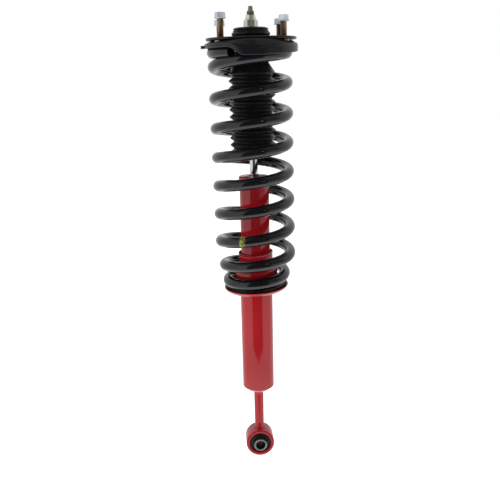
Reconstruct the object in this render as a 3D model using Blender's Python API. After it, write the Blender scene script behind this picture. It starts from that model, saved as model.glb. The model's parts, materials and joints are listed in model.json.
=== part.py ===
"""Front strut assembly of a light truck: stud mount, coil spring, twin-tube damper and lower eye.

Frame: +Z runs up the damper's centre line. The origin is the centre of the top mount plate, on its
upper face. The lower eye's axis is parallel to Y and the front faces -Y. All sizes in metres.
"""
import math

import bmesh
import bpy
from mathutils import Matrix, Vector

GAP = 0.0003            # clearance kept between neighbouring solids
FINE = 32               # facets round a large turned piece
MEDIUM = 24             # facets round a medium turned piece
SMALL = 12              # facets round a small turned piece

# Top mount plate and its studs
PLATE_HALF_WIDTH = 0.0700
PLATE_HALF_DEPTH = 0.0550
PLATE_CORNER = 0.0500
PLATE_THICKNESS = 0.0040
PLATE_BOSS_RADIUS = 0.0310
PLATE_BOSS_HEIGHT = 0.0020
PLATE_BORE = 0.0140
STUD_SPACING_X = 0.0948
STUD_SPACING_Y = 0.0640
STUD_RADIUS = 0.0050
STUD_HEAD_RADIUS = 0.0092
STUD_HEAD_HEIGHT = 0.0030
STUD_POCKET_RADIUS = 0.0098          # pockets in the upper seat that clear the stud heads
STUD_POCKET_FLOOR = -0.0076
STUD_TOP = 0.0285
STUD_NUT_FLATS = 0.0140
STUD_NUT_HEIGHT = 0.0088
STUD_NUT_FLANGE = 0.0088
STUD_NUT_TOPS = (0.0354, 0.0302, 0.0293, 0.0290)
STUD_NUT_TURNS = (0.0, 30.0, 12.0, 8.0)

# Rod end, its nut and the rubber cushions that grip the plate
ROD_RADIUS = 0.0065
ROD_PIN_RADIUS = 0.0058
ROD_TIP_RADIUS = 0.0036
ROD_TIP_TOP = 0.0462
ROD_THREAD_TOP = 0.0387
ROD_SHOULDER = -0.0248
LOCK_NUT_FLATS = 0.0190
LOCK_NUT_TOP = 0.0330
LOCK_NUT_HEX_TOP = 0.0262
LOCK_NUT_BOTTOM = 0.0157
LOCK_NUT_COLLAR = 0.0072
PIN_CLEARANCE_RADIUS = 0.0062
UPPER_WASHER_RADIUS = 0.0272
UPPER_WASHER_THICKNESS = 0.0040
WASHER_BEVEL = 0.0013
UPPER_CUSHION_RADIUS = 0.0300
LOWER_CUSHION_RADIUS = 0.0268
LOWER_CUSHION_BOTTOM = -0.0210
SPACER_RADIUS = 0.0088
LOWER_WASHER_RADIUS = 0.0250
LOWER_WASHER_THICKNESS = 0.0030

# Upper spring seat and pad
UPPER_SEAT_RADIUS = 0.0725
UPPER_SEAT_TOP = -0.0075
UPPER_SEAT_WEB = 0.0020
UPPER_SEAT_WALL = 0.0025
UPPER_SEAT_RIM_BOTTOM = -0.0150
UPPER_SEAT_BORE = 0.0320
SEAT_CROWN_RADIUS = 0.0620            # flat crown right under the plate
SEAT_SHOULDER_RADIUS = 0.0700         # foot of the shoulder that slopes down from the crown
SEAT_TAB_TOP = -0.0112
SEAT_TAB_BOTTOM = -0.0146
SEAT_EDGE_DROP = 0.0066               # how far the shoulder's foot steps down towards the front
UPPER_SEAT_TAB = 0.0055
SEAT_WEB_DROP = 0.0092              # how far the web steps down under the coil's first turn
SEAT_RIM_DROP = 0.0125
SEAT_STEP = (0.94, 1.00)            # turns over which the seat steps back up to the wire's end
WEB_SLOPE = (0.56, 0.93)            # turns over which the web steps down
RIM_SLOPE = (0.42, 0.92)            # turns over which the rim grows deeper
UPPER_PAD_RADIUS = 0.0690
UPPER_PAD_BORE = 0.0440
UPPER_PAD_THICKNESS = 0.0022
UPPER_PAD_DROP = 0.0105
PAD_FIRST_STEP = 21                 # facet of the seat, counted from +X, where the open pad ring starts
PAD_STEPS = 29                      # facets that the open pad ring covers
COIL_GAP = 0.0006                   # clearance between the coil and its pads

# Coil spring
WIRE_RADIUS = 0.0090
SPRING_RADIUS = 0.0572
SPRING_END_RADIUS = 0.0474
SPRING_TURNS = 9.304
SPRING_PITCH = 0.04575
SPRING_TOP_ANGLE = 237.2
PITCH_KNOTS = ((0.484, 0.00), (0.942, 1.05), (2.224, 1.05), (2.624, 1.00), (7.024, 1.00),
               (7.824, 0.86), (8.624, 0.72), (9.124, 0.12), (9.304, 0.00))    # (turn, share of pitch)
TAPER = (7.664, 8.664)               # turns over which the coil narrows to the lower seat
TILT_RAMP = (8.224, 9.024)           # turns over which the coil takes up the lower seat's tilt
SPRING_LEAN = (-0.0028, 0.0010)     # sideways offset of the coil centre, top and bottom
POINTS_PER_TURN = 20
WIRE_BEVEL = 2

# Dust boot and bump stop
BOOT_PEAK = 0.0376
BOOT_VALLEY = 0.0302
BOOT_WALL = 0.0014
BOOT_FOLDS = 12
BOOT_FIRST_PEAK = -0.0535
BOOT_FOLD_PITCH = 0.0110
BOOT_NECK_RADIUS = 0.0257
CUP_RADIUS = 0.0240
CUP_WALL = 0.0015
CUP_DEPTH = 0.0092
BUMP_STOP_BOTTOM = -0.1000
BUMP_STOP_RADIUS = 0.0222
BUMP_STOP_TIP_RADIUS = 0.0150
BUMP_STOP_GROOVE = 0.0030
BUMP_STOP_RINGS = 4

# Damper body
TUBE_TOP = -0.2164
UPPER_TUBE_RADIUS = 0.0240
LOWER_TUBE_RADIUS = 0.0271
TUBE_WALL = 0.0020
TUBE_STEP_TOP = -0.3438
TUBE_STEP_BOTTOM = -0.3478
TUBE_BOTTOM = -0.5844
END_CAP_RADIUS = 0.0251
END_CAP_TOP = -0.2140
END_CAP_SKIRT = 0.0080
END_CAP_ROD_CLEARANCE = 0.0018
SEAL_HEIGHT = 0.0032
GUIDE_TOP = -0.2205
GUIDE_STEP = -0.2342
GUIDE_BOTTOM = -0.2442
CYLINDER_BORE = 0.0160
CYLINDER_RADIUS = 0.0175
CYLINDER_BOTTOM = -0.5597
FOOT_VALVE_SPIGOT = 0.0080
BASE_VALVE_BOTTOM = -0.5717
BASE_CAP_BOTTOM = -0.5917
BASE_CAP_RADIUS = 0.0212

# Piston assembly
REBOUND_STOP_RADIUS = 0.0120
REBOUND_STOP_HEIGHT = 0.0077
REBOUND_STOP_BEVEL = 0.0010
PISTON_SHOULDER = -0.2990
PISTON_PIN_RADIUS = 0.0048
SHIM_RADIUS = 0.0128
SHIM_THICKNESS = 0.0012
PISTON_HEIGHT = 0.0140
PISTON_BAND_MARGIN = 0.0025
PORT_COUNT = 6
PORT_RADIUS = 0.0017
PORT_CIRCLE = 0.0095
PORT_OVERRUN = 0.0040
PORT_STEPS = 8
PISTON_NUT_FLATS = 0.0130
PISTON_NUT_HEIGHT = 0.0065
PISTON_PIN_END = -0.3255

# Lower spring seat and pad
SEAT_COLLAR_TOP = -0.3412
SEAT_COLLAR_RADIUS = 0.0283
SEAT_COLLAR_STRAIGHT = 0.0120
SEAT_FLARE_RADIUS = 0.0358
SEAT_FLARE_Z = -0.3707
SEAT_FLOOR = -0.4020
SEAT_FLOOR_STEP = 0.0012
SEAT_RIM_RADIUS = 0.0538
SEAT_RIM_TOP = -0.3988
SEAT_SHEET = 0.0030
SEAT_SKIRT_BOTTOM = -0.4100
LOWER_PAD_TOP = -0.3950              # highest that the pad reaches, under the rising wire
LOWER_PAD_CLEARANCE = 0.0022
PAD_PAST_END = 0.05                 # turns that the pad's lowest stretch runs on past the wire's end
SEAT_TILT = 0.036                   # rise of the dish per metre towards +X

# Stem and lower eye
STEM_TOP_RADIUS = 0.0084
STEM_RADIUS = 0.0080
STEM_FOOT_RADIUS = 0.0105
STEM_FOOT_START = -0.6560
EYE_CENTRE = -0.6914
EYE_RADIUS = 0.0247
EYE_BORE = 0.0187
EYE_HALF_LENGTH = 0.0160
SLEEVE_RADIUS = 0.0114
SLEEVE_BORE = 0.0082
SLEEVE_HALF_LENGTH = 0.0232


def clear_scene():
    for obj in list(bpy.data.objects):
        bpy.data.objects.remove(obj, do_unlink=True)


def make_material(name, colour, roughness, metallic=0.0):
    material = bpy.data.materials.new(name)
    material.use_nodes = True
    shader = material.node_tree.nodes["Principled BSDF"]
    shader.inputs["Base Color"].default_value = (*colour, 1.0)
    shader.inputs["Roughness"].default_value = roughness
    shader.inputs["Metallic"].default_value = metallic
    material.diffuse_color = (*colour, 1.0)
    return material


def make_empty(name, location, parent=None):
    empty = bpy.data.objects.new(name, None)
    empty.location = location
    empty.parent = parent
    bpy.context.collection.objects.link(empty)
    return empty


def place(obj, origin, parent=None):
    """Put an object whose mesh is local to `origin` (a world point) under its parent."""
    offset = Vector((0.0, 0.0, 0.0))
    if parent is not None:
        obj.parent = parent
        offset = parent.location
    obj.location = Vector(origin) - offset


def finish_mesh(name, mesh_builder, material, smooth_angle=35.0):
    bmesh.ops.recalc_face_normals(mesh_builder, faces=mesh_builder.faces)
    mesh = bpy.data.meshes.new(name)
    mesh_builder.to_mesh(mesh)
    mesh_builder.free()
    mesh.shade_smooth()
    mesh.set_sharp_from_angle(angle=math.radians(smooth_angle))
    mesh.materials.append(material)
    obj = bpy.data.objects.new(name, mesh)
    bpy.context.collection.objects.link(obj)
    return obj


def spin_outline(outline, steps):
    """Turn an outline of (radius, z) points about Z; it is closed unless it starts on the axis."""
    builder = bmesh.new()
    verts = [builder.verts.new((radius, 0.0, z)) for radius, z in outline]
    edges = [builder.edges.new(pair) for pair in zip(verts, verts[1:])]
    if outline[0][0] > 0.0:
        edges.append(builder.edges.new((verts[-1], verts[0])))
    bmesh.ops.spin(builder, geom=verts + edges, cent=(0.0, 0.0, 0.0), axis=(0.0, 0.0, 1.0),
                   angle=math.tau, steps=steps, use_merge=True, use_duplicate=False)
    bmesh.ops.remove_doubles(builder, verts=builder.verts, dist=1e-6)
    return builder


def turned(name, outline, material, steps=FINE, origin_z=0.0, parent=None):
    """A turned piece; the outline is in world heights and the object's origin is at origin_z."""
    local = [(radius, z - origin_z) for radius, z in outline]
    obj = finish_mesh(name, spin_outline(local, steps), material)
    place(obj, (0.0, 0.0, origin_z), parent)
    return obj


def ring_outline(bore, radius, top, bottom, bevel=0.0):
    """A ring's section, outer edges broken by `bevel`."""
    if bevel == 0.0:
        return [(bore, top), (radius, top), (radius, bottom), (bore, bottom)]
    return [(bore, top), (radius - bevel, top), (radius, top - bevel),
            (radius, bottom + bevel), (radius - bevel, bottom), (bore, bottom)]


def hex_factor(angle):
    """How far a hexagon's outline stands beyond its inscribed circle, corners at 0, 60, 120..."""
    sector = math.tau / 6.0
    return 1.0 / math.cos((angle % sector) - sector / 2.0)


def hex_nut(name, flats, top, bottom, bore, material, flange=0.0, collar=None, turn=0.0):
    """A nut on Z with broken corners, an optional washer face below and a cone collar on top."""
    half = flats / 2.0
    edge = half * 0.13
    foot = bottom + (0.0012 if flange else 0.0)
    hex_top = collar[1] if collar else top
    outline = [(bore, top)]
    if collar:
        outline += [(collar[0], top), (half * 0.86, hex_top)]
    outline += [(half * 0.98, hex_top), (half, hex_top - edge), (half, foot + edge * 0.3)]
    hex_heights = {round(hex_top - edge, 6), round(foot + edge * 0.3, 6)}
    if flange:
        outline += [(flange, foot), (flange, bottom), (bore, bottom)]
    else:
        outline += [(half * 0.98, bottom), (bore, bottom)]
    centre_z = (top + bottom) / 2.0
    builder = spin_outline([(radius, z - centre_z) for radius, z in outline], SMALL)
    for vert in builder.verts:
        radius = math.hypot(vert.co.x, vert.co.y)
        if abs(radius - half) < 1e-5 and round(vert.co.z + centre_z, 6) in hex_heights:
            factor = hex_factor(math.atan2(vert.co.y, vert.co.x))
            vert.co.x *= factor
            vert.co.y *= factor
    bmesh.ops.rotate(builder, verts=builder.verts, cent=(0.0, 0.0, 0.0),
                     matrix=Matrix.Rotation(math.radians(turn), 3, "Z"))
    obj = finish_mesh(name, builder, material, smooth_angle=25.0)
    place(obj, (0.0, 0.0, centre_z))
    return obj


def cylinder_cutter(name, radius, depth, location, rotation=(0.0, 0.0, 0.0), steps=SMALL):
    builder = bmesh.new()
    bmesh.ops.create_cone(builder, cap_ends=True, segments=steps, radius1=radius, radius2=radius,
                          depth=depth)
    mesh = bpy.data.meshes.new(name)
    builder.to_mesh(mesh)
    builder.free()
    cutter = bpy.data.objects.new(name, mesh)
    cutter.location = location
    cutter.rotation_euler = rotation
    cutter.hide_render = True
    cutter.display_type = "WIRE"
    bpy.context.collection.objects.link(cutter)
    return cutter


def cut(obj, cutter):
    modifier = obj.modifiers.new(cutter.name, "BOOLEAN")
    modifier.operation = "DIFFERENCE"
    modifier.object = cutter
    modifier.solver = "EXACT"


def stud_positions():
    """Front left, front right, back right, back left."""
    half_x = STUD_SPACING_X / 2.0
    half_y = STUD_SPACING_Y / 2.0
    return [(-half_x, -half_y), (half_x, -half_y), (half_x, half_y), (-half_x, half_y)]


def make_plate(steel):
    """Stamped plate with a raised centre boss, four stud holes and the cushion bore."""
    arc_steps = 8
    loop = []
    for quarter in range(4):
        sign_x = 1.0 if quarter in (0, 3) else -1.0
        sign_y = 1.0 if quarter in (0, 1) else -1.0
        for step in range(arc_steps + 1):
            angle = math.radians(90.0) * (quarter + step / arc_steps)
            loop.append((sign_x * (PLATE_HALF_WIDTH - PLATE_CORNER) + PLATE_CORNER * math.cos(angle),
                         sign_y * (PLATE_HALF_DEPTH - PLATE_CORNER) + PLATE_CORNER * math.sin(angle)))
    builder = bmesh.new()
    outline = builder.faces.new([builder.verts.new((x, y, -PLATE_THICKNESS)) for x, y in loop])
    raised = bmesh.ops.extrude_face_region(builder, geom=[outline])
    top_verts = [item for item in raised["geom"] if isinstance(item, bmesh.types.BMVert)]
    bmesh.ops.translate(builder, verts=top_verts, vec=(0.0, 0.0, PLATE_THICKNESS))
    plate = finish_mesh("top_mount_plate", builder, steel)
    boss = spin_outline([(0.0, PLATE_BOSS_HEIGHT), (PLATE_BOSS_RADIUS - 0.001, PLATE_BOSS_HEIGHT),
                         (PLATE_BOSS_RADIUS, PLATE_BOSS_HEIGHT - 0.001),
                         (PLATE_BOSS_RADIUS, -0.001), (0.0, -0.001)], FINE)
    bmesh.ops.recalc_face_normals(boss, faces=boss.faces)
    boss_mesh = bpy.data.meshes.new("plate_boss")
    boss.to_mesh(boss_mesh)
    boss.free()
    boss_object = bpy.data.objects.new("plate_boss", boss_mesh)
    boss_object.hide_render = True
    boss_object.display_type = "WIRE"
    bpy.context.collection.objects.link(boss_object)
    union = plate.modifiers.new("boss", "BOOLEAN")
    union.operation = "UNION"
    union.object = boss_object
    union.solver = "EXACT"
    depth = 0.03
    cut(plate, cylinder_cutter("plate_bore", PLATE_BORE, depth, (0.0, 0.0, 0.0), steps=MEDIUM))
    for index, (x, y) in enumerate(stud_positions(), start=1):
        hole = cylinder_cutter(f"stud_hole_{index}", STUD_RADIUS + GAP, depth, (x, y, 0.0))
        cut(plate, hole)


def make_studs(stud_steel, nut_steel):
    """Four press-in studs with their heads under the plate, each with a flange nut."""
    head_top = -PLATE_THICKNESS - GAP
    chamfer = 0.0008
    for index, (x, y) in enumerate(stud_positions(), start=1):
        outline = [(0.0, STUD_TOP), (STUD_RADIUS - chamfer, STUD_TOP), (STUD_RADIUS, STUD_TOP - chamfer),
                   (STUD_RADIUS, head_top), (STUD_HEAD_RADIUS, head_top),
                   (STUD_HEAD_RADIUS, head_top - STUD_HEAD_HEIGHT), (0.0, head_top - STUD_HEAD_HEIGHT)]
        stud = turned(f"mount_stud_{index}", outline, stud_steel, SMALL)
        stud.location = (x, y, 0.0)
        top = STUD_NUT_TOPS[index - 1]
        nut = hex_nut(f"stud_nut_{index}", STUD_NUT_FLATS, top, top - STUD_NUT_HEIGHT,
                      STUD_RADIUS + GAP, nut_steel, flange=STUD_NUT_FLANGE,
                      turn=STUD_NUT_TURNS[index - 1])
        nut.location.x = x
        nut.location.y = y


def make_mount(black_steel, rubber, zinc):
    """Everything the rod end clamps: washers, cushions, spacer and lock nut."""
    hex_nut("rod_lock_nut", LOCK_NUT_FLATS, LOCK_NUT_TOP, LOCK_NUT_BOTTOM, PIN_CLEARANCE_RADIUS, zinc,
            collar=(LOCK_NUT_COLLAR, LOCK_NUT_HEX_TOP))
    washer_top = LOCK_NUT_BOTTOM - GAP
    washer_bottom = washer_top - UPPER_WASHER_THICKNESS
    turned("upper_washer", ring_outline(PIN_CLEARANCE_RADIUS, UPPER_WASHER_RADIUS, washer_top,
                                        washer_bottom, WASHER_BEVEL), black_steel, FINE, washer_bottom)
    cushion_top = washer_bottom - GAP
    cushion_bottom = PLATE_BOSS_HEIGHT + GAP
    bore = SPACER_RADIUS + GAP
    spigot = PLATE_BORE - GAP
    spigot_end = -0.0010
    bulge = 0.0012
    middle = (cushion_top + cushion_bottom) / 2.0
    turned("upper_cushion",
           [(bore, cushion_top), (UPPER_CUSHION_RADIUS - 3.0 * bulge, cushion_top),
            (UPPER_CUSHION_RADIUS - bulge, cushion_top - bulge), (UPPER_CUSHION_RADIUS, middle),
            (UPPER_CUSHION_RADIUS - bulge, cushion_bottom + bulge / 2.0),
            (UPPER_CUSHION_RADIUS - 2.0 * bulge, cushion_bottom), (spigot, cushion_bottom),
            (spigot, spigot_end), (bore, spigot_end)], rubber, FINE, cushion_bottom)
    lower_top = -PLATE_THICKNESS - GAP
    turned("lower_cushion",
           [(bore, spigot_end - GAP), (spigot, spigot_end - GAP), (spigot, lower_top),
            (LOWER_CUSHION_RADIUS - bulge, lower_top), (LOWER_CUSHION_RADIUS, lower_top - 2.0 * bulge),
            (LOWER_CUSHION_RADIUS, LOWER_CUSHION_BOTTOM + 2.0 * bulge),
            (LOWER_CUSHION_RADIUS - 2.0 * bulge, LOWER_CUSHION_BOTTOM), (bore, LOWER_CUSHION_BOTTOM)],
           rubber, MEDIUM, lower_top)
    turned("spacer_sleeve", ring_outline(PIN_CLEARANCE_RADIUS, SPACER_RADIUS, cushion_top,
                                         LOWER_CUSHION_BOTTOM), zinc, SMALL)
    lower_washer_top = LOWER_CUSHION_BOTTOM - GAP
    turned("lower_washer",
           ring_outline(PIN_CLEARANCE_RADIUS, LOWER_WASHER_RADIUS, lower_washer_top,
                        lower_washer_top - LOWER_WASHER_THICKNESS, WASHER_BEVEL / 2.0), black_steel, MEDIUM)


def smooth_step(value, limits):
    """0 below the first limit, 1 above the second, easing between them."""
    part = min(max((value - limits[0]) / (limits[1] - limits[0]), 0.0), 1.0)
    return part * part * (3.0 - 2.0 * part)


def coil_travel(turn):
    """Full pitches that the coil has dropped by `turn`; the pitch runs straight between knots."""
    travel = 0.0
    for (start, share), (end, next_share) in zip(PITCH_KNOTS, PITCH_KNOTS[1:]):
        if turn <= start:
            break
        reached = min(turn, end)
        share_there = share + (next_share - share) * (reached - start) / (end - start)
        travel += (reached - start) * (share + share_there) / 2.0
    return travel


def turn_at(x, y):
    """Turns from the spring's top end, 0 to 1, of the wire that passes over a point of the seat."""
    angle = math.degrees(math.atan2(y, x))
    return ((SPRING_TOP_ANGLE - angle) / 360.0) % 1.0


def step_down(turn, drop):
    """How far a surface lies below its level at the wire's end: it follows the coil, down to `drop`."""
    coil_drop = SPRING_PITCH * coil_travel(turn)
    return min(coil_drop, drop) * (1.0 - smooth_step(turn, SEAT_STEP))


def rim_step_down(turn):
    return SEAT_RIM_DROP * smooth_step(turn, RIM_SLOPE) * (1.0 - smooth_step(turn, SEAT_STEP))


def make_upper_seat(black_steel, rubber):
    """Pressed seat under the plate: crown, shoulder, web that steps down with the coil, rim and tab."""
    crown_top = -PLATE_THICKNESS - GAP
    crown_bottom = crown_top - UPPER_SEAT_WEB
    web_bottom = UPPER_SEAT_TOP - UPPER_SEAT_WEB
    rim_bore = UPPER_SEAT_RADIUS - UPPER_SEAT_WALL
    edge = 0.0012
    outline = [(UPPER_SEAT_BORE, crown_top), (SEAT_CROWN_RADIUS, crown_top),
               (SEAT_SHOULDER_RADIUS, UPPER_SEAT_TOP), (UPPER_SEAT_RADIUS, UPPER_SEAT_TOP - edge),
               (UPPER_SEAT_RADIUS, SEAT_TAB_TOP), (UPPER_SEAT_RADIUS, SEAT_TAB_BOTTOM),
               (UPPER_SEAT_RADIUS, UPPER_SEAT_RIM_BOTTOM), (rim_bore, UPPER_SEAT_RIM_BOTTOM),
               (rim_bore, web_bottom), (UPPER_PAD_RADIUS, web_bottom), (UPPER_PAD_BORE, web_bottom),
               (UPPER_PAD_BORE - edge, crown_bottom), (UPPER_SEAT_BORE, crown_bottom)]
    builder = spin_outline(outline, FINE)
    middle_z = (SEAT_TAB_TOP + SEAT_TAB_BOTTOM) / 2.0
    tab_face = min(builder.faces, key=lambda face: (
        face.calc_center_median() - Vector((-UPPER_SEAT_RADIUS, 0.0, middle_z))).length)
    grown = bmesh.ops.extrude_discrete_faces(builder, faces=[tab_face])
    bmesh.ops.translate(builder, verts=grown["faces"][0].verts, vec=(-UPPER_SEAT_TAB, 0.0, 0.0))
    for vert in builder.verts:
        turn = turn_at(vert.co.x, vert.co.y)
        slope = smooth_step(turn, WEB_SLOPE)
        if vert.co.z < (SEAT_TAB_BOTTOM + UPPER_SEAT_RIM_BOTTOM) / 2.0:
            vert.co.z -= rim_step_down(turn)
        elif abs(vert.co.z - web_bottom) < GAP:
            vert.co.z -= step_down(turn, SEAT_WEB_DROP * slope)
        elif vert.co.z < crown_bottom - GAP:
            vert.co.z -= step_down(turn, SEAT_EDGE_DROP * slope)
    seat = finish_mesh("upper_spring_seat", builder, black_steel)
    pocket_depth = 0.02
    for index, (x, y) in enumerate(stud_positions(), start=1):
        pocket = cylinder_cutter(f"stud_pocket_{index}", STUD_POCKET_RADIUS, pocket_depth,
                                 (x, y, STUD_POCKET_FLOOR + pocket_depth / 2.0), steps=MEDIUM)
        cut(seat, pocket)

    pad_top = web_bottom - GAP
    pad = bmesh.new()
    sections = []
    for step in range(PAD_STEPS + 1):
        angle = math.tau * (PAD_FIRST_STEP - step) / FINE
        turn = turn_at(math.cos(angle), math.sin(angle))
        top = pad_top - step_down(turn, SEAT_WEB_DROP * smooth_step(turn, WEB_SLOPE))
        bottom = pad_top - UPPER_PAD_THICKNESS - step_down(turn, UPPER_PAD_DROP)
        sections.append([pad.verts.new((radius * math.cos(angle), radius * math.sin(angle), z))
                         for radius, z in ring_outline(UPPER_PAD_BORE, UPPER_PAD_RADIUS, top, bottom)])
    pad.faces.new(sections[0])
    pad.faces.new(sections[-1])
    for one, other in zip(sections, sections[1:]):
        for corner in range(len(one)):
            pad.faces.new((one[corner - 1], one[corner], other[corner], other[corner - 1]))
    finish_mesh("upper_spring_pad", pad, rubber)


def coil_point(turn):
    """Centre of the wire after `turn` turns down from the top end of a right-hand coil."""
    top_z = UPPER_SEAT_TOP - UPPER_SEAT_WEB - GAP - UPPER_PAD_THICKNESS - COIL_GAP - WIRE_RADIUS
    radius = SPRING_RADIUS + (SPRING_END_RADIUS - SPRING_RADIUS) * smooth_step(turn, TAPER)
    centre_x = SPRING_LEAN[0] + (SPRING_LEAN[1] - SPRING_LEAN[0]) * turn / SPRING_TURNS
    angle = math.radians(SPRING_TOP_ANGLE) - math.tau * turn
    x = centre_x + radius * math.cos(angle)
    z = top_z - SPRING_PITCH * coil_travel(turn) + SEAT_TILT * x * smooth_step(turn, TILT_RAMP)
    return Vector((x, radius * math.sin(angle), z))


def make_spring(spring_steel):
    """Right-hand coil of round wire; closed ends, the last turn narrowed to the lower seat."""
    count = int(SPRING_TURNS * POINTS_PER_TURN)
    curve = bpy.data.curves.new("coil_spring", "CURVE")
    curve.dimensions = "3D"
    curve.bevel_depth = WIRE_RADIUS
    curve.bevel_resolution = WIRE_BEVEL
    curve.use_fill_caps = True
    spline = curve.splines.new("POLY")
    spline.points.add(count)
    for index, point in enumerate(spline.points):
        point.co = (*coil_point(SPRING_TURNS * index / count), 1.0)
    spline.use_smooth = True
    curve.materials.append(spring_steel)
    spring = bpy.data.objects.new("coil_spring", curve)
    bpy.context.collection.objects.link(spring)


def make_boot_and_stop(rubber, foam, black_steel):
    """Bellows boot, hung on the cup that holds the foam bump stop."""
    rod_clear = ROD_RADIUS + GAP
    cup_top = ROD_SHOULDER
    cup_bottom = cup_top - CUP_DEPTH
    cup_bore = CUP_RADIUS - CUP_WALL
    turned("bump_stop_cup",
           [(rod_clear, cup_top), (CUP_RADIUS, cup_top), (CUP_RADIUS, cup_bottom),
            (cup_bore, cup_bottom), (cup_bore, cup_top - CUP_WALL), (rod_clear, cup_top - CUP_WALL)],
           black_steel, MEDIUM)

    top = cup_top - CUP_WALL - GAP
    body_radius = cup_bore - GAP
    ring_height = (cup_bottom - BUMP_STOP_BOTTOM) / BUMP_STOP_RINGS
    outline = [(rod_clear, top), (body_radius, top), (body_radius, cup_bottom)]
    for ring in range(BUMP_STOP_RINGS):
        crown = body_radius + (BUMP_STOP_TIP_RADIUS - body_radius) * (ring + 0.5) / BUMP_STOP_RINGS
        ring_top = cup_bottom - ring * ring_height
        outline.append((crown, ring_top - 0.3 * ring_height))
        outline.append((crown, ring_top - 0.7 * ring_height))
        if ring < BUMP_STOP_RINGS - 1:
            outline.append((crown - BUMP_STOP_GROOVE, ring_top - ring_height))
    outline += [(BUMP_STOP_TIP_RADIUS - BUMP_STOP_GROOVE, BUMP_STOP_BOTTOM),
                (rod_clear, BUMP_STOP_BOTTOM)]
    turned("bump_stop", outline, foam, SMALL)

    neck_top = cup_top - 2.0 * GAP
    outer = [(BOOT_NECK_RADIUS, neck_top), (BOOT_NECK_RADIUS, cup_bottom)]
    for fold in range(BOOT_FOLDS):
        peak_z = BOOT_FIRST_PEAK - fold * BOOT_FOLD_PITCH
        outer.append((BOOT_PEAK, peak_z))
        outer.append((BOOT_VALLEY, peak_z - BOOT_FOLD_PITCH / 2.0))
    hem_z = outer[-1][1] - BOOT_WALL
    outer.append((BOOT_VALLEY + BOOT_WALL, hem_z))
    inner = [(max(radius - BOOT_WALL, CUP_RADIUS + GAP), z) for radius, z in reversed(outer)]
    turned("dust_boot", outer + inner, rubber, MEDIUM)


def make_rod(chrome):
    """Rod with a threaded pin and wrench tip above, and the piston's pin below."""
    flat = 0.0010
    turned("piston_rod",
           [(0.0, ROD_TIP_TOP), (ROD_TIP_RADIUS - flat / 2.0, ROD_TIP_TOP),
            (ROD_TIP_RADIUS, ROD_TIP_TOP - flat), (ROD_TIP_RADIUS, ROD_THREAD_TOP + flat),
            (ROD_PIN_RADIUS, ROD_THREAD_TOP), (ROD_PIN_RADIUS, ROD_SHOULDER - GAP),
            (ROD_RADIUS, ROD_SHOULDER - 2.0 * GAP), (ROD_RADIUS, PISTON_SHOULDER),
            (PISTON_PIN_RADIUS, PISTON_SHOULDER), (PISTON_PIN_RADIUS, PISTON_PIN_END),
            (0.0, PISTON_PIN_END)], chrome, SMALL)


def port_cutters(prefix, top, bottom):
    cutters = []
    for index in range(PORT_COUNT):
        angle = math.tau * index / PORT_COUNT
        cutters.append(cylinder_cutter(
            f"{prefix}_port_{index + 1}", PORT_RADIUS, (top - bottom) + PORT_OVERRUN,
            (PORT_CIRCLE * math.cos(angle), PORT_CIRCLE * math.sin(angle), (top + bottom) / 2.0),
            steps=PORT_STEPS))
    return cutters


def make_piston(steel, plastic, shim_steel):
    """Piston with its ports and band, shims on both sides and the nut that clamps them."""
    rod_clear = ROD_RADIUS + GAP
    stop_top = GUIDE_BOTTOM - GAP
    turned("rebound_stop", ring_outline(rod_clear, REBOUND_STOP_RADIUS, stop_top,
                                        stop_top - REBOUND_STOP_HEIGHT, REBOUND_STOP_BEVEL), plastic, SMALL)
    bore = PISTON_PIN_RADIUS + GAP
    shim_top = PISTON_SHOULDER - GAP
    shim_bottom = shim_top - SHIM_THICKNESS
    turned("rebound_shims", ring_outline(bore, SHIM_RADIUS, shim_top, shim_bottom), shim_steel, SMALL)
    piston_top = shim_bottom - GAP
    piston_bottom = piston_top - PISTON_HEIGHT
    piston_radius = CYLINDER_BORE - GAP
    groove = piston_radius - 0.0014
    band_top = piston_top - PISTON_BAND_MARGIN
    band_bottom = piston_bottom + PISTON_BAND_MARGIN
    piston = turned("piston",
                    [(bore, piston_top), (piston_radius, piston_top), (piston_radius, band_top),
                     (groove, band_top), (groove, band_bottom), (piston_radius, band_bottom),
                     (piston_radius, piston_bottom), (bore, piston_bottom)], steel, SMALL)
    for cutter in port_cutters("piston", piston_top, piston_bottom):
        cut(piston, cutter)
    turned("piston_band", ring_outline(groove + GAP, piston_radius, band_top - GAP, band_bottom + GAP),
           plastic, SMALL)
    lower_top = piston_bottom - GAP
    lower_bottom = lower_top - SHIM_THICKNESS
    turned("compression_shims", ring_outline(bore, SHIM_RADIUS, lower_top, lower_bottom),
           shim_steel, SMALL)
    nut_top = lower_bottom - GAP
    hex_nut("piston_nut", PISTON_NUT_FLATS, nut_top, nut_top - PISTON_NUT_HEIGHT, bore, steel)


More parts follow.
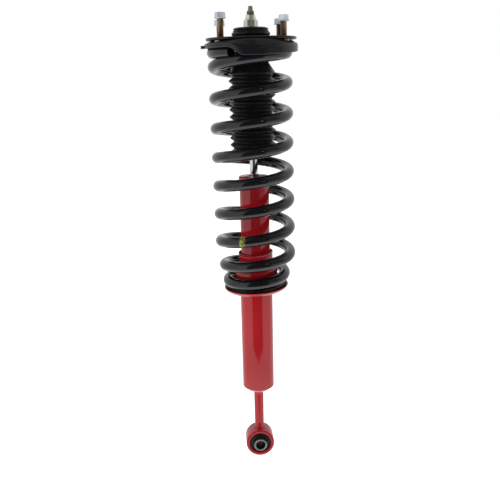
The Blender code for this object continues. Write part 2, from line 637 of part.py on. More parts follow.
def make_damper_body(body, red, seal_rubber, steel):
    """Outer tube with its cap, seal and guide, the working cylinder and the foot valve."""
    tube_bore = UPPER_TUBE_RADIUS - TUBE_WALL
    lower_bore = LOWER_TUBE_RADIUS - TUBE_WALL
    edge = 0.0010
    turned("damper_tube",
           [(tube_bore, TUBE_TOP), (UPPER_TUBE_RADIUS - edge / 2.0, TUBE_TOP),
            (UPPER_TUBE_RADIUS, TUBE_TOP - edge), (UPPER_TUBE_RADIUS, TUBE_STEP_TOP),
            (LOWER_TUBE_RADIUS, TUBE_STEP_BOTTOM), (LOWER_TUBE_RADIUS, TUBE_BOTTOM),
            (lower_bore, TUBE_BOTTOM), (lower_bore, TUBE_STEP_BOTTOM), (tube_bore, TUBE_STEP_TOP)],
           red, FINE, parent=body)
    rod_clear = ROD_RADIUS + GAP
    cap_bottom = TUBE_TOP + GAP
    cap_bore = ROD_RADIUS + END_CAP_ROD_CLEARANCE
    turned("tube_end_cap",
           [(cap_bore, END_CAP_TOP), (END_CAP_RADIUS - edge, END_CAP_TOP),
            (END_CAP_RADIUS, END_CAP_TOP - edge), (END_CAP_RADIUS, TUBE_TOP - END_CAP_SKIRT),
            (UPPER_TUBE_RADIUS + GAP, TUBE_TOP - END_CAP_SKIRT), (UPPER_TUBE_RADIUS + GAP, cap_bottom),
            (cap_bore, cap_bottom)], red, FINE, parent=body)
    inside = tube_bore - GAP
    seal_top = TUBE_TOP
    seal_bottom = seal_top - SEAL_HEIGHT
    seal_lip = rod_clear + 3.0 * edge
    turned("rod_seal",
           [(rod_clear, seal_top), (seal_lip, seal_top), (inside, seal_top - edge / 2.0),
            (inside, seal_bottom), (rod_clear, seal_bottom)], seal_rubber, SMALL, parent=body)
    spigot = CYLINDER_BORE - GAP
    turned("rod_guide",
           [(rod_clear, GUIDE_TOP), (inside, GUIDE_TOP), (inside, GUIDE_STEP), (spigot, GUIDE_STEP),
            (spigot, GUIDE_BOTTOM), (rod_clear, GUIDE_BOTTOM)], steel, SMALL, parent=body)
    turned("pressure_cylinder", ring_outline(CYLINDER_BORE, CYLINDER_RADIUS, GUIDE_STEP - GAP,
                                             CYLINDER_BOTTOM), steel, MEDIUM, parent=body)
    valve_top = CYLINDER_BOTTOM + FOOT_VALVE_SPIGOT
    valve_step = CYLINDER_BOTTOM - GAP
    valve = turned("foot_valve",
                   [(0.0, valve_top), (spigot, valve_top), (spigot, valve_step),
                    (lower_bore - GAP, valve_step), (lower_bore - GAP, BASE_VALVE_BOTTOM),
                    (0.0, BASE_VALVE_BOTTOM)], steel, SMALL, parent=body)
    for cutter in port_cutters("foot_valve", valve_top, BASE_VALVE_BOTTOM):
        cut(valve, cutter)
    cap_top = BASE_VALVE_BOTTOM - GAP
    turned("base_cap",
           [(0.0, cap_top), (lower_bore - GAP, cap_top), (lower_bore - GAP, TUBE_BOTTOM),
            (BASE_CAP_RADIUS, TUBE_BOTTOM - edge), (BASE_CAP_RADIUS - edge, BASE_CAP_BOTTOM + 2.0 * edge),
            (BASE_CAP_RADIUS - 4.0 * edge, BASE_CAP_BOTTOM), (0.0, BASE_CAP_BOTTOM)],
           red, FINE, parent=body)


def lower_pad_top(x, y):
    """Height of the lower pad's face: it follows the underside of the coil's last turn."""
    past_end = SPRING_TURNS + PAD_PAST_END
    last_turn = past_end - ((math.degrees(math.atan2(y, x)) - SPRING_TOP_ANGLE) / 360.0 + past_end) % 1.0
    coil_underside = coil_point(last_turn).z - WIRE_RADIUS - COIL_GAP
    return min(coil_underside, LOWER_PAD_TOP + SEAT_TILT * x)


def make_lower_seat(body, red, rubber):
    """Dished seat on a flared collar, all leaning a little, and the rubber pad the spring stands on."""
    tube_clear = UPPER_TUBE_RADIUS + GAP
    lower_clear = LOWER_TUBE_RADIUS + GAP
    floor_bore = SEAT_FLARE_RADIUS + SEAT_FLOOR_STEP
    rim_roll = 0.0015
    rim_foot = SEAT_RIM_RADIUS - 3.0 * rim_roll
    skirt_flare = 0.0025
    outline = [(tube_clear, SEAT_COLLAR_TOP), (SEAT_COLLAR_RADIUS, SEAT_COLLAR_TOP),
               (SEAT_COLLAR_RADIUS, SEAT_COLLAR_TOP - SEAT_COLLAR_STRAIGHT)]
    flare_top = SEAT_COLLAR_TOP - SEAT_COLLAR_STRAIGHT
    flare_steps = 3
    for step in range(1, flare_steps + 1):
        part = step / flare_steps
        radius = SEAT_COLLAR_RADIUS + (SEAT_FLARE_RADIUS - SEAT_COLLAR_RADIUS) * part ** 1.4
        outline.append((radius, flare_top + (SEAT_FLARE_Z - flare_top) * part))
    outline += [(floor_bore, SEAT_FLOOR + 2.0 * rim_roll), (floor_bore + rim_roll, SEAT_FLOOR),
                (rim_foot, SEAT_FLOOR), (SEAT_RIM_RADIUS - rim_roll, SEAT_RIM_TOP),
                (SEAT_RIM_RADIUS, SEAT_RIM_TOP), (SEAT_RIM_RADIUS, SEAT_RIM_TOP - rim_roll),
                (rim_foot, SEAT_FLOOR - SEAT_SHEET), (floor_bore, SEAT_FLOOR - SEAT_SHEET),
                (LOWER_TUBE_RADIUS + skirt_flare, SEAT_SKIRT_BOTTOM),
                (lower_clear, SEAT_SKIRT_BOTTOM), (lower_clear, TUBE_STEP_BOTTOM),
                (tube_clear, TUBE_STEP_TOP)]
    seat = spin_outline(outline, FINE)
    for vert in seat.verts:
        if math.hypot(vert.co.x, vert.co.y) > lower_clear or vert.co.z > TUBE_STEP_TOP:
            vert.co.z += SEAT_TILT * vert.co.x
    place(finish_mesh("lower_spring_seat", seat, red), (0.0, 0.0, 0.0), body)

    pad_bottom = SEAT_FLOOR + GAP
    pad_bore = floor_bore + LOWER_PAD_CLEARANCE
    pad_lip = rim_foot - GAP
    pad = spin_outline([(pad_bore, LOWER_PAD_TOP), (pad_lip, LOWER_PAD_TOP),
                        (pad_lip, pad_bottom), (pad_bore, pad_bottom)], FINE)
    for vert in pad.verts:
        if vert.co.z > (LOWER_PAD_TOP + pad_bottom) / 2.0:
            vert.co.z = lower_pad_top(vert.co.x, vert.co.y)
        else:
            vert.co.z += SEAT_TILT * vert.co.x
    place(finish_mesh("lower_spring_pad", pad, rubber), (0.0, 0.0, 0.0), body)


def make_stem(body, red):
    """Solid stem under the base cap; its foot is saddled to the eye barrel."""
    top = BASE_CAP_BOTTOM - GAP
    shoulder = 0.0020
    foot_end = EYE_CENTRE + EYE_RADIUS - 2.0 * shoulder
    outline = [(0.0, top), (STEM_TOP_RADIUS + shoulder, top), (STEM_TOP_RADIUS, top - 2.0 * shoulder),
               (STEM_RADIUS, STEM_FOOT_START)]
    foot_steps = 4
    for step in range(1, foot_steps + 1):
        part = step / foot_steps
        radius = STEM_RADIUS + (STEM_FOOT_RADIUS - STEM_RADIUS) * part ** 2
        outline.append((radius, STEM_FOOT_START + (foot_end + shoulder - STEM_FOOT_START) * part))
    outline += [(STEM_FOOT_RADIUS, foot_end), (0.0, foot_end)]
    stem = turned("lower_stem", outline, red, SMALL, parent=body)
    saddle = cylinder_cutter("stem_saddle", EYE_RADIUS + GAP, 4.0 * STEM_FOOT_RADIUS,
                             (0.0, 0.0, EYE_CENTRE), (math.radians(90.0), 0.0, 0.0), FINE)
    cut(stem, saddle)


def turned_on_eye(name, outline, material, steps, parent):
    """A turned piece of the eye: its outline's z runs along the eye's axis, which is parallel to Y."""
    obj = finish_mesh(name, spin_outline(outline, steps), material)
    obj.rotation_euler = (math.radians(90.0), 0.0, 0.0)
    place(obj, (0.0, 0.0, EYE_CENTRE), parent)
    return obj


def make_eye(body, pivot, red, rubber, zinc):
    """Eye barrel, its bonded rubber bush and the steel sleeve that the bolt goes through."""
    edge = 0.0008
    turned_on_eye("eye_ring", ring_outline(EYE_BORE, EYE_RADIUS, EYE_HALF_LENGTH, -EYE_HALF_LENGTH, edge),
                  red, FINE, body)
    bore = SLEEVE_RADIUS + GAP
    outside = EYE_BORE - GAP
    body_half = EYE_HALF_LENGTH - 2.0 * edge
    lip_half = EYE_HALF_LENGTH + edge
    lip_radius = bore + 2.0 * edge
    turned_on_eye("eye_rubber_bush",
                  [(bore, lip_half), (lip_radius, lip_half), (outside - edge, body_half),
                   (outside, body_half - edge), (outside, -body_half + edge),
                   (outside - edge, -body_half), (lip_radius, -lip_half), (bore, -lip_half)],
                  rubber, FINE, body)
    turned_on_eye("eye_sleeve", ring_outline(SLEEVE_BORE, SLEEVE_RADIUS, SLEEVE_HALF_LENGTH,
                                             -SLEEVE_HALF_LENGTH, edge), zinc, MEDIUM, pivot)


def main():
    clear_scene()
    black_steel = make_material("black_paint", (0.012, 0.012, 0.014), 0.30)
    spring_steel = make_material("spring_paint", (0.010, 0.010, 0.012), 0.25)
    rubber = make_material("rubber", (0.014, 0.014, 0.015), 0.65)
    foam = make_material("bump_foam", (0.55, 0.42, 0.12), 0.80)
    red = make_material("red_paint", (0.42, 0.018, 0.028), 0.30)
    chrome = make_material("chrome", (0.75, 0.76, 0.78), 0.10, 1.0)
    zinc = make_material("zinc", (0.68, 0.72, 0.76), 0.30, 1.0)
    yellow_zinc = make_material("yellow_zinc", (0.62, 0.45, 0.27), 0.35, 1.0)
    steel = make_material("machined_steel", (0.50, 0.50, 0.52), 0.35, 1.0)
    plastic = make_material("piston_plastic", (0.08, 0.08, 0.09), 0.50)

    make_plate(black_steel)
    make_studs(yellow_zinc, zinc)
    make_mount(black_steel, rubber, zinc)
    make_upper_seat(black_steel, rubber)
    make_spring(spring_steel)
    make_boot_and_stop(rubber, foam, black_steel)
    make_rod(chrome)
    make_piston(steel, plastic, zinc)
    damper_axis = make_empty("damper_axis", (0.0, 0.0, 0.0))
    eye_axis = make_empty("eye_axis", (0.0, 0.0, EYE_CENTRE), damper_axis)
    make_damper_body(damper_axis, red, rubber, steel)
    make_lower_seat(damper_axis, red, rubber)
    make_stem(damper_axis, red)
    make_eye(damper_axis, eye_axis, red, rubber, zinc)
    bpy.context.view_layer.update()


main()
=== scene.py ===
import json
import math

import bmesh
import bpy
from mathutils import Matrix, Vector


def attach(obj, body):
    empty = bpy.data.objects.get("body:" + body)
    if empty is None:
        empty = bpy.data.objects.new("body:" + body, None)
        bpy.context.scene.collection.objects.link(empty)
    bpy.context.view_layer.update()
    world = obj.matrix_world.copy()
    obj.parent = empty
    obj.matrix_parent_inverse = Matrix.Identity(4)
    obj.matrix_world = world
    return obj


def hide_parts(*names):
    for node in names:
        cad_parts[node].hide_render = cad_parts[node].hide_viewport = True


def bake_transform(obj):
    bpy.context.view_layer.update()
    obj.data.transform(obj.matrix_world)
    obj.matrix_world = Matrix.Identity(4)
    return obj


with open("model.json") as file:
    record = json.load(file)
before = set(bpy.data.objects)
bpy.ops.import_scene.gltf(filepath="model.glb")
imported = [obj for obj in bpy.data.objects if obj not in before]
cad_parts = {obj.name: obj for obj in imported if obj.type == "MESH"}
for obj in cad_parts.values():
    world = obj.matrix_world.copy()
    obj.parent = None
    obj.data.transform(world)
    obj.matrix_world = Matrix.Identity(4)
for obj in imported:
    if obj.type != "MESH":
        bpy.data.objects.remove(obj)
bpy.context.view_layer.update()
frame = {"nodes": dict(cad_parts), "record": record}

GAP = 0.0003
MOUNT = "mount_and_rod"
DAMPER = "damper"
SLEEVE = "bush_sleeve"


# ---------------------------------------------------------------- materials
class Nodes:
    """Short calls that build one material's node tree."""

    def __init__(self, name):
        self.material = bpy.data.materials.new(name)
        self.material.use_nodes = True
        self.tree = self.material.node_tree
        self.shader = self.tree.nodes["Principled BSDF"]

    def add(self, kind, **settings):
        node = self.tree.nodes.new(kind)
        for key, value in settings.items():
            setattr(node, key, value)
        return node

    def link(self, source, target):
        self.tree.links.new(source, target)

    def noise(self, scale, detail=3.0, roughness=0.55, stretch=(1.0, 1.0, 1.0), distortion=0.0):
        coordinates = self.add("ShaderNodeTexCoord")
        mapping = self.add("ShaderNodeMapping")
        mapping.inputs["Scale"].default_value = stretch
        texture = self.add("ShaderNodeTexNoise")
        texture.inputs["Scale"].default_value = scale
        texture.inputs["Detail"].default_value = detail
        texture.inputs["Roughness"].default_value = roughness
        texture.inputs["Distortion"].default_value = distortion
        self.link(coordinates.outputs["Object"], mapping.inputs["Vector"])
        self.link(mapping.outputs["Vector"], texture.inputs["Vector"])
        return texture.outputs["Fac"]

    def ramp(self, source, stops):
        node = self.add("ShaderNodeValToRGB")
        while len(node.color_ramp.elements) < len(stops):
            node.color_ramp.elements.new(0.5)
        for element, (place, colour) in zip(node.color_ramp.elements, stops):
            element.position = place
            element.color = (*colour, 1.0)
        self.link(source, node.inputs["Fac"])
        return node.outputs["Color"]

    def spread(self, source, low, high, from_low=0.3, from_high=0.7):
        node = self.add("ShaderNodeMapRange")
        node.inputs["From Min"].default_value = from_low
        node.inputs["From Max"].default_value = from_high
        node.inputs["To Min"].default_value = low
        node.inputs["To Max"].default_value = high
        self.link(source, node.inputs["Value"])
        return node.outputs["Result"]

    def mix(self, factor, first, second):
        node = self.add("ShaderNodeMix", data_type="RGBA")
        self.link(factor, node.inputs[0])
        for index, value in ((6, first), (7, second)):
            if isinstance(value, tuple):
                node.inputs[index].default_value = (*value, 1.0)
            else:
                self.link(value, node.inputs[index])
        return node.outputs[2]

    def bump(self, source, strength, distance):
        node = self.add("ShaderNodeBump")
        node.inputs["Strength"].default_value = strength
        node.inputs["Distance"].default_value = distance
        self.link(source, node.inputs["Height"])
        self.link(node.outputs["Normal"], self.shader.inputs["Normal"])

    def colour(self, source):
        if isinstance(source, tuple):
            self.shader.inputs["Base Color"].default_value = (*source, 1.0)
        else:
            self.link(source, self.shader.inputs["Base Color"])

    def roughness(self, source):
        if isinstance(source, float):
            self.shader.inputs["Roughness"].default_value = source
        else:
            self.link(source, self.shader.inputs["Roughness"])


def painted(name, deep, light, rough_low, rough_high, coat=0.0, orange_peel=0.06, specular=0.5):
    """Enamel over steel: faint colour drift, fine dust, orange-peel bump."""
    nodes = Nodes(name)
    drift = nodes.noise(9.0, 4.0)
    nodes.colour(nodes.ramp(drift, ((0.30, deep), (0.72, light))))
    nodes.roughness(nodes.spread(nodes.noise(60.0, 5.0, 0.6), rough_low, rough_high))
    nodes.bump(nodes.noise(420.0, 2.0), orange_peel, 0.0004)
    nodes.shader.inputs["Specular IOR Level"].default_value = specular
    nodes.shader.inputs["Coat Weight"].default_value = coat
    nodes.shader.inputs["Coat Roughness"].default_value = 0.06
    return nodes


def plated(name, stops, rough_low, rough_high, scale=55.0, bump=0.08, metallic=1.0):
    """Plated steel: patchy tint, streaky roughness and a faint grain."""
    nodes = Nodes(name)
    patch = nodes.noise(scale, 5.0, 0.6, distortion=0.4)
    nodes.colour(nodes.ramp(patch, stops))
    nodes.roughness(nodes.spread(nodes.noise(240.0, 4.0, 0.6, (1.0, 1.0, 0.25)), rough_low, rough_high))
    nodes.bump(nodes.noise(700.0, 3.0), bump, 0.0002)
    nodes.shader.inputs["Metallic"].default_value = metallic
    return nodes


def make_materials():
    made = {}
    made["black_paint"] = painted("black_paint", (0.0035, 0.0035, 0.0045), (0.0075, 0.0075, 0.0095),
                                  0.16, 0.28, specular=0.36).material
    made["red_paint"] = painted("red_paint", (0.25, 0.0060, 0.0095), (0.30, 0.0095, 0.014), 0.04, 0.08,
                                coat=0.0, orange_peel=0.025).material
    # Lighter, paler red for the base plug: painted reflection of the bright floor below.
    made["red_base_painted_reflection"] = painted("red_base_painted_reflection", (0.36, 0.10, 0.11), (0.50, 0.22, 0.23), 0.20, 0.32).material

    spring = painted("spring_paint", (0.0025, 0.0025, 0.0035), (0.0055, 0.0055, 0.0070), 0.08, 0.18, coat=0.2,
                     orange_peel=0.08, specular=0.42)
    place = spring.add("ShaderNodeAttribute", attribute_name="turn")
    near = spring.add("ShaderNodeMath", operation="SUBTRACT")
    near.inputs[1].default_value = PAINT_MARK_TURN
    spring.link(place.outputs["Fac"], near.inputs[0])
    far = spring.add("ShaderNodeMath", operation="ABSOLUTE")
    spring.link(near.outputs[0], far.inputs[0])
    band = spring.spread(far.outputs[0], 1.0, 0.0, 0.008, 0.013)
    patchy = spring.spread(spring.noise(260.0, 4.0, 0.6), 0.0, 0.9, 0.42, 0.62)
    mask = spring.add("ShaderNodeMath", operation="MULTIPLY")
    spring.link(band, mask.inputs[0])
    spring.link(patchy, mask.inputs[1])
    base = spring.shader.inputs["Base Color"].links[0].from_socket
    dab = spring.ramp(spring.noise(150.0, 3.0), ((0.40, (0.16, 0.19, 0.015)), (0.62, (0.40, 0.38, 0.03))))
    spring.colour(spring.mix(mask.outputs[0], base, dab))
    made["spring_paint"] = spring.material

    rubber = Nodes("rubber")
    rubber_shades = ((0.30, (0.0035, 0.0035, 0.004)), (0.75, (0.009, 0.009, 0.010)))
    rubber.colour(rubber.ramp(rubber.noise(35.0, 5.0), rubber_shades))
    rubber.shader.inputs["Specular IOR Level"].default_value = 0.28
    rubber.roughness(rubber.spread(rubber.noise(90.0, 4.0), 0.26, 0.42))
    rubber.bump(rubber.noise(520.0, 4.0, 0.65), 0.16, 0.0004)
    made["rubber"] = rubber.material

    foam = Nodes("bump_foam")
    foam.colour(foam.ramp(foam.noise(60.0), ((0.3, (0.46, 0.34, 0.10)), (0.7, (0.62, 0.48, 0.17)))))
    foam.roughness(0.85)
    foam.bump(foam.noise(900.0, 3.0), 0.5, 0.0006)
    made["bump_foam"] = foam.material

    chrome = Nodes("chrome")
    chrome.colour(chrome.ramp(chrome.noise(30.0), ((0.3, (0.66, 0.67, 0.70)), (0.7, (0.74, 0.75, 0.77)))))
    chrome.roughness(chrome.spread(chrome.noise(300.0, 3.0, 0.5, (1.0, 1.0, 0.1)), 0.14, 0.22))
    chrome.shader.inputs["Metallic"].default_value = 1.0
    made["chrome"] = chrome.material

    zinc_shades = ((0.25, (0.38, 0.44, 0.52)), (0.5, (0.52, 0.58, 0.64)), (0.78, (0.62, 0.64, 0.65)))
    made["zinc"] = plated("zinc", zinc_shades, 0.38, 0.55, metallic=0.6).material
    made["nut_zinc"] = plated("nut_zinc", ((0.25, (0.52, 0.51, 0.44)), (0.5, (0.70, 0.69, 0.60)),
                                           (0.78, (0.78, 0.73, 0.60))), 0.20, 0.34, metallic=0.85).material
    sleeve = plated("sleeve_steel", ((0.25, (0.20, 0.20, 0.20)), (0.7, (0.34, 0.34, 0.33))), 0.30, 0.45)
    # Inside the bore the colour turns near-black: painted shade in the sleeve's hollow.
    flatten = sleeve.add("ShaderNodeVectorMath", operation="MULTIPLY")
    flatten.inputs[1].default_value = (1.0, 1.0, 0.0)
    sleeve.link(sleeve.add("ShaderNodeTexCoord").outputs["Object"], flatten.inputs[0])
    from_axis = sleeve.add("ShaderNodeVectorMath", operation="LENGTH")
    sleeve.link(flatten.outputs[0], from_axis.inputs[0])
    bore_painted_shade = sleeve.spread(from_axis.outputs["Value"], 1.0, 0.0, 0.00825, 0.0085)
    steel_tint = sleeve.shader.inputs["Base Color"].links[0].from_socket
    sleeve.colour(sleeve.mix(bore_painted_shade, steel_tint, (0.025, 0.024, 0.023)))
    made["sleeve_steel"] = sleeve.material
    made["yellow_zinc"] = plated("yellow_zinc", ((0.22, (0.20, 0.13, 0.075)), (0.5, (0.34, 0.235, 0.15)),
                                                 (0.8, (0.42, 0.31, 0.22))), 0.26, 0.45, 90.0).material
    made["phosphate"] = plated("phosphate", ((0.25, (0.13, 0.115, 0.09)), (0.6, (0.24, 0.215, 0.17)),
                                             (0.8, (0.33, 0.29, 0.22))), 0.38, 0.55, 120.0, 0.2, 0.7).material
    made["machined_steel"] = plated("machined_steel", ((0.3, (0.42, 0.42, 0.44)), (0.7, (0.55, 0.55, 0.57))),
                                    0.25, 0.40).material

    plastic = Nodes("piston_plastic")
    plastic.colour(plastic.ramp(plastic.noise(40.0), ((0.3, (0.05, 0.05, 0.055)), (0.7, (0.09, 0.09, 0.10)))))
    plastic.roughness(plastic.spread(plastic.noise(120.0), 0.40, 0.55))
    plastic.bump(plastic.noise(600.0), 0.10, 0.0003)
    made["piston_plastic"] = plastic.material
    return made


# ---------------------------------------------------------------- mesh helpers
def new_piece(name, verts, faces, material, body, sharp_angle=38.0):
    mesh = bpy.data.meshes.new(name)
    mesh.from_pydata(verts, [], faces)
    mesh.validate()
    mesh.shade_smooth()
    mesh.set_sharp_from_angle(angle=math.radians(sharp_angle))
    mesh.materials.append(material)
    piece = bpy.data.objects.new(name, mesh)
    bpy.context.scene.collection.objects.link(piece)
    if body is not None:
        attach(piece, body)
    return piece


def eased(outline, radius, steps=4, closed=True):
    """The outline with its corners rounded."""
    points = [Vector(point) for point in outline]
    result = []
    count = len(points)
    for index, corner in enumerate(points):
        if not closed and index in (0, count - 1):
            result.append(tuple(corner))
            continue
        before = points[index - 1] - corner
        after = points[(index + 1) % count] - corner
        reach = min(radius, 0.46 * before.length, 0.46 * after.length)
        start = corner + before.normalized() * reach
        end = corner + after.normalized() * reach
        for step in range(steps + 1):
            part = step / steps
            blend_in = (1.0 - part) ** 2
            blend_out = part ** 2
            middle = 2.0 * part * (1.0 - part)
            result.append(tuple(start * blend_in + corner * middle + end * blend_out))
    return result


def finer(outline, longest):
    """The closed outline with extra points, so that no side is longer than `longest`."""
    result = []
    for start, end in zip(outline, outline[1:] + outline[:1]):
        count = max(math.ceil(math.dist(start, end) / longest), 1)
        result += [tuple(a + (b - a) * step / count for a, b in zip(start, end)) for step in range(count)]
    return result


def turned(name, outline, material, body, steps=96, height=None, sharp_angle=38.0):
    """A turned piece; `height(x, y, r, z)` can move each point up or down."""
    on_axis = outline[0][0] == 0.0
    verts = []
    for step in range(steps):
        angle = math.tau * step / steps
        for radius, z in outline:
            x = radius * math.cos(angle)
            y = radius * math.sin(angle)
            verts.append((x, y, z if height is None else height(x, y, radius, z)))
    count = len(outline)
    faces = []
    pairs = list(zip(range(count), range(1, count)))
    if not on_axis:
        pairs.append((count - 1, 0))
    for step in range(steps):
        one = step * count
        other = (step + 1) % steps * count
        for low, high in pairs:
            faces.append((one + low, one + high, other + high, other + low))
    piece = new_piece(name, verts, faces, material, body, sharp_angle)
    merge(piece)
    return piece


def merge(piece):
    """Welds the points that lie on the axis and faces everything outwards."""
    builder = bmesh.new()
    builder.from_mesh(piece.data)
    bmesh.ops.remove_doubles(builder, verts=builder.verts, dist=1e-7)
    bmesh.ops.dissolve_degenerate(builder, edges=builder.edges, dist=1e-8)
    bmesh.ops.recalc_face_normals(builder, faces=builder.faces)
    builder.to_mesh(piece.data)
    builder.free()


def ring(bore, radius, top, bottom):
    return [(bore, top), (radius, top), (radius, bottom), (bore, bottom)]


def hexed(angle):
    sector = math.tau / 6.0
    return 1.0 / math.cos((angle % sector) - sector / 2.0)


def hex_piece(name, flats, rows, bore, material, body, centre=(0.0, 0.0), turn=0.0, steps=96):
    """A nut: rows are (z, round radius); each row is the smaller of the hexagon and its round radius."""
    half = flats / 2.0
    sections = []
    for z, limit, is_hex in rows:
        loop = []
        for step in range(steps):
            angle = math.tau * step / steps
            radius = min(half * hexed(angle), limit) if is_hex else limit
            loop.append((radius, angle, z))
        sections.append(loop)
    top, bottom = rows[0][0], rows[-1][0]
    sections.insert(0, [(bore, math.tau * step / steps, top) for step in range(steps)])
    sections.append([(bore, math.tau * step / steps, bottom) for step in range(steps)])
    verts = []
    for loop in sections:
        for radius, angle, z in loop:
            at = angle + math.radians(turn)
            verts.append((centre[0] + radius * math.cos(at), centre[1] + radius * math.sin(at), z))
    faces = []
    count = len(sections)
    for row in range(count):
        below = (row + 1) % count
        for step in range(steps):
            after = (step + 1) % steps
            faces.append((row * steps + step, row * steps + after,
                          below * steps + after, below * steps + step))
    piece = new_piece(name, verts, faces, material, body, 24.0)
    merge(piece)
    return piece


def threaded(name, major, pitch, top, bottom, material, body, centre=(0.0, 0.0), depth=None, steps=32,
             chamfer=0.0008):
    """A screw thread, closed at both ends: the radius runs up and down along a helix."""
    depth = 0.55 * pitch if depth is None else depth
    rows = max(int((top - bottom) / pitch * 6.0), 8)
    verts = []
    for row in range(rows + 1):
        z = bottom + (top - bottom) * row / rows
        for step in range(steps):
            angle = math.tau * step / steps
            phase = ((z - bottom) / pitch - step / steps) % 1.0
            rise = min(1.0, max(0.0, 1.6 * abs(2.0 * phase - 1.0) - 0.3))
            radius = major - depth * (1.0 - rise)
            radius = min(radius, major - depth * 1.2 + (top - z) * depth * 1.2 / chamfer)
            verts.append((centre[0] + radius * math.cos(angle), centre[1] + radius * math.sin(angle), z))
    faces = []
    for row in range(rows):
        for step in range(steps):
            after = (step + 1) % steps
            faces.append((row * steps + step, row * steps + after,
                          (row + 1) * steps + after, (row + 1) * steps + step))
    faces.append(tuple(reversed(range(steps))))
    faces.append(tuple(rows * steps + step for step in range(steps)))
    return new_piece(name, verts, faces, material, body, 50.0)


# ---------------------------------------------------------------- sizes shared with the frame, in metres
PLATE_HALF = (0.0700, 0.0550)
PLATE_CORNER = 0.0500
PLATE_THICKNESS = 0.0040
BOSS_RADIUS = 0.0310
BOSS_HEIGHT = 0.0020
PLATE_BORE = 0.0140
STUDS = ((-0.0474, -0.0320), (0.0474, -0.0320), (0.0474, 0.0320), (-0.0474, 0.0320))
STUD_RADIUS = 0.0050
STUD_TOP = 0.0285
STUD_HEAD_RADIUS = 0.0092
STUD_HEAD_HEIGHT = 0.0030
POCKET_EDGE = (0.0094, 0.0108)
POCKET_FLOOR = -0.0076
STUD_NUT_TOPS = (0.0354, 0.0302, 0.0293, 0.0290)
STUD_NUT_TURNS = (0.0, 30.0, 12.0, 8.0)
STUD_NUT_HEIGHT = 0.0088
SEAT_TOP = -0.0075
SEAT_WEB = 0.0020
SEAT_WALL = 0.0025
SEAT_RADIUS = 0.0725
SEAT_RIM_BOTTOM = -0.0150
SEAT_BORE = 0.0320
SEAT_CROWN_RADIUS = 0.0620
SEAT_SHOULDER_RADIUS = 0.0700
PAD_BORE = 0.0440
WEB_DROP = 0.0092
EDGE_DROP = 0.0066
RIM_DROP = 0.0125
SEAT_STEP = (0.94, 1.00)
WEB_SLOPE = (0.56, 0.93)
RIM_SLOPE = (0.42, 0.92)
WIRE_RADIUS = 0.0090
SPRING_RADIUS = 0.0572
SPRING_END_RADIUS = 0.0474
SPRING_TURNS = 9.304
SPRING_PITCH = 0.04575
SPRING_TOP_ANGLE = 237.2
PITCH_KNOTS = ((0.484, 0.00), (0.942, 1.05), (2.224, 1.05), (2.624, 1.00), (7.024, 1.00),
               (7.824, 0.86), (8.624, 0.72), (9.124, 0.12), (9.304, 0.00))
TAPER = (7.664, 8.664)
TILT_RAMP = (8.224, 9.024)
SPRING_LEAN = (-0.0028, 0.0010)
SEAT_TILT = 0.036
COIL_TOP_Z = SEAT_TOP - SEAT_WEB - GAP - 0.0022 - 0.0006 - WIRE_RADIUS
PAINT_MARK_TURN = 6.971
EYE_CENTRE = -0.6914
UPPER_TUBE = 0.0240
LOWER_TUBE = 0.0271
TUBE_TOP = -0.2164
TUBE_BOTTOM = -0.5844
EYE_RADIUS = 0.0247
WELD_RADIUS = 0.0100
WELD_BEAD = 0.0016

# Studio: the floor's height, and how bright each part of the surroundings is
FLOOR_Z = -0.95
DIM_FOOT = 0.498
DIM_TAPER = 0.045
DIM_WIDTH = 0.77
DIM_LEVEL = 0.06
SCREEN_LEVEL = 1.0
HIGH_LEFT = 0.95
HIGH_RIGHT = 0.25
WALL_LEVEL = 0.80
OVERHEAD_LEVEL = 0.30
UNDER_LEVEL = 1.6
FLOOR_GLOW = 0.85
DIM_EDGE = 0.06
FRONT_FADE = 0.35
UPPER_START = 0.16
UPPER_FADE = 0.12
RIGHT_START = 0.10
RIGHT_FADE = 0.20
OVERHEAD_START = 0.60
OVERHEAD_FADE = 0.20
UNDER_START = -0.50
UNDER_FADE = 0.10
CAMERA_PITCH = 14.87
CAMERA_ROLL = -1.40
CAMERA_YAW = -3.05
CAMERA_PLACE = (-0.0094, -1.0835, -0.0513)


def smooth_step(value, limits):
    part = min(max((value - limits[0]) / (limits[1] - limits[0]), 0.0), 1.0)
    return part * part * (3.0 - 2.0 * part)


def coil_travel(turn):
    travel = 0.0
    for (start, share), (end, next_share) in zip(PITCH_KNOTS, PITCH_KNOTS[1:]):
        if turn <= start:
            break
        reached = min(turn, end)
        share_there = share + (next_share - share) * (reached - start) / (end - start)
        travel += (reached - start) * (share + share_there) / 2.0
    return travel


def coil_point(turn):
    radius = SPRING_RADIUS + (SPRING_END_RADIUS - SPRING_RADIUS) * smooth_step(turn, TAPER)
    centre_x = SPRING_LEAN[0] + (SPRING_LEAN[1] - SPRING_LEAN[0]) * turn / SPRING_TURNS
    angle = math.radians(SPRING_TOP_ANGLE) - math.tau * turn
    x = centre_x + radius * math.cos(angle)
    z = COIL_TOP_Z - SPRING_PITCH * coil_travel(turn) + SEAT_TILT * x * smooth_step(turn, TILT_RAMP)
    return x, radius * math.sin(angle), z


def turn_at(x, y):
    return ((SPRING_TOP_ANGLE - math.degrees(math.atan2(y, x))) / 360.0) % 1.0


def rounded_plate_radius(angle):
    """Distance from the centre to the plate's edge in a direction: a rectangle with round corners."""
    across, along = abs(math.cos(angle)), abs(math.sin(angle))
    straight_x = PLATE_HALF[0] / max(across, 1e-9)
    straight_y = PLATE_HALF[1] / max(along, 1e-9)
    corner_x, corner_y = PLATE_HALF[0] - PLATE_CORNER, PLATE_HALF[1] - PLATE_CORNER
    distance = min(straight_x, straight_y)
    x, y = distance * across, distance * along
    if x > corner_x and y > corner_y:
        middle = corner_x * across + corner_y * along
        distance = middle + math.sqrt(middle ** 2 - corner_x ** 2 - corner_y ** 2 + PLATE_CORNER ** 2)
    return distance


